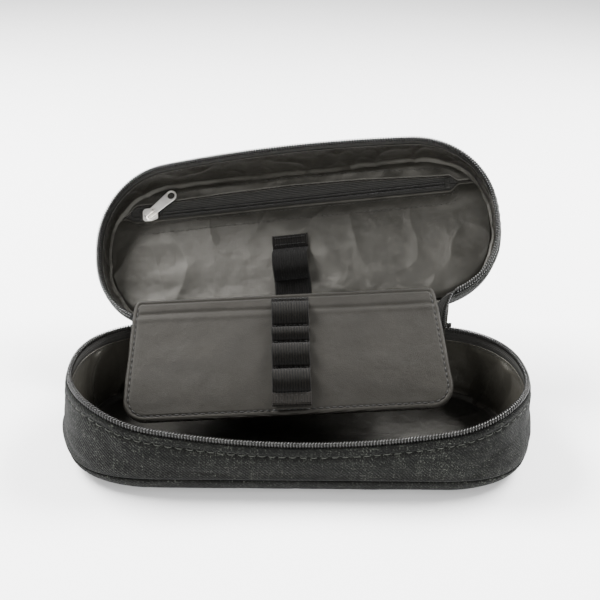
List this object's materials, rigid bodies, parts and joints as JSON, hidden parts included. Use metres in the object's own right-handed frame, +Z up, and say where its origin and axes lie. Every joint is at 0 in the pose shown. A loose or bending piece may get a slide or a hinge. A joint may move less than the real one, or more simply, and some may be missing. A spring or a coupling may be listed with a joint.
{
  "type": "pencil case",
  "caption": "Oval soft zip pencil case with a folding lid, a zipped pocket in the lid, and a pen flap with elastic loops on the back wall.",
  "frame": {"origin": "middle of the flat bottom", "axes": "+X along the length, -Y the front, +Y the back wall with the lid fold, +Z up"},
  "size_m": [0.2341, 0.1776, 0.1383],
  "materials": {
    "outer_fabric": "melange twill, matt",
    "lining": "taffeta, soft sheen",
    "leatherette": "smooth coated, satin",
    "stiffener_board": "matt",
    "foam_interlining": "matt",
    "zip_tape": "ribbed, matt",
    "zip_coil": "satin",
    "elastic": "ribbed, matt",
    "nickel": "nickel plate, worn satin"
  },
  "bodies": {
    "base": {"base_bottom_panel": "outer_fabric", "base_stiffener_board": "stiffener_board", "base_lining_floor": "lining", "base_gusset": "outer_fabric", "base_gusset_foam": "foam_interlining", "main_zip_base_tape": "zip_tape", "base_lining_wall": "lining", "main_zip_base_coil": "zip_coil", "back_panel": "outer_fabric", "back_panel_lining": "lining", "lid_hinge_seam": "outer_fabric", "flap_hinge_strip": "leatherette"},
    "lid": {"lid_top_panel": "outer_fabric", "lid_stiffener_board": "stiffener_board", "lid_lining_backing": "lining", "lid_back_panel": "outer_fabric", "lid_back_lining": "lining", "lid_gusset": "outer_fabric", "main_zip_lid_tape": "zip_tape", "lid_gusset_foam": "foam_interlining", "lid_lining_wall": "lining", "main_zip_lid_coil": "zip_coil", "pocket_panel_upper": "lining", "pocket_panel_lower": "lining", "pocket_zip_tape_upper": "zip_tape", "pocket_zip_tape_lower": "zip_tape", "pocket_zip_coil_upper": "zip_coil", "pocket_zip_coil_lower": "zip_coil", "lid_elastic_loop": "elastic"},
    "flap": {"flap_back_skin": "leatherette", "flap_board": "stiffener_board", "flap_front_skin": "leatherette", "flap_elastic_loops": "elastic"},
    "pocket_slider": {"pocket_zip_slider": "nickel"},
    "pocket_pull": {"pocket_zip_pull_tab": "nickel"},
    "main_slider": {"main_zip_slider": "nickel"},
    "main_pull": {"main_zip_pull_tab": "nickel"}
  },
  "joints": [
    {"name": "lid_hinge", "type": "hinge", "parent": "base", "child": "lid", "pos_m": [0, 0.0472, 0.05], "axis": [-0.9954, 0, -0.0958], "range_deg": [-131, 36]},
    {"name": "flap_hinge", "type": "hinge", "parent": "base", "child": "flap", "pos_m": [0, 0.0426, 0.063], "axis": [-0.9995, 0, -0.0314], "range_deg": [-3, 95]},
    {"name": "pocket_zip_slide", "type": "slide", "parent": "lid", "child": "pocket_slider", "axis": [0.9848, -0.0723, 0.158], "range_m": [0, 0.158]},
    {"name": "pocket_pull_flip", "type": "hinge", "parent": "pocket_slider", "child": "pocket_pull", "pos_m": [-0.08953, 0.11145, 0.08202], "axis": [0.6504, -0.5675, -0.5049], "range_deg": [0, 130]},
    {"name": "main_zip_slide", "type": "slide", "parent": "base", "child": "main_slider", "axis": [0, 0, 1], "range_m": [0, 0.006]},
    {"name": "main_pull_flip", "type": "hinge", "parent": "main_slider", "child": "main_pull", "pos_m": [0.078, 0.04838, 0.0362], "axis": [1, 0, 0], "range_deg": [0, 95]}
  ]
}
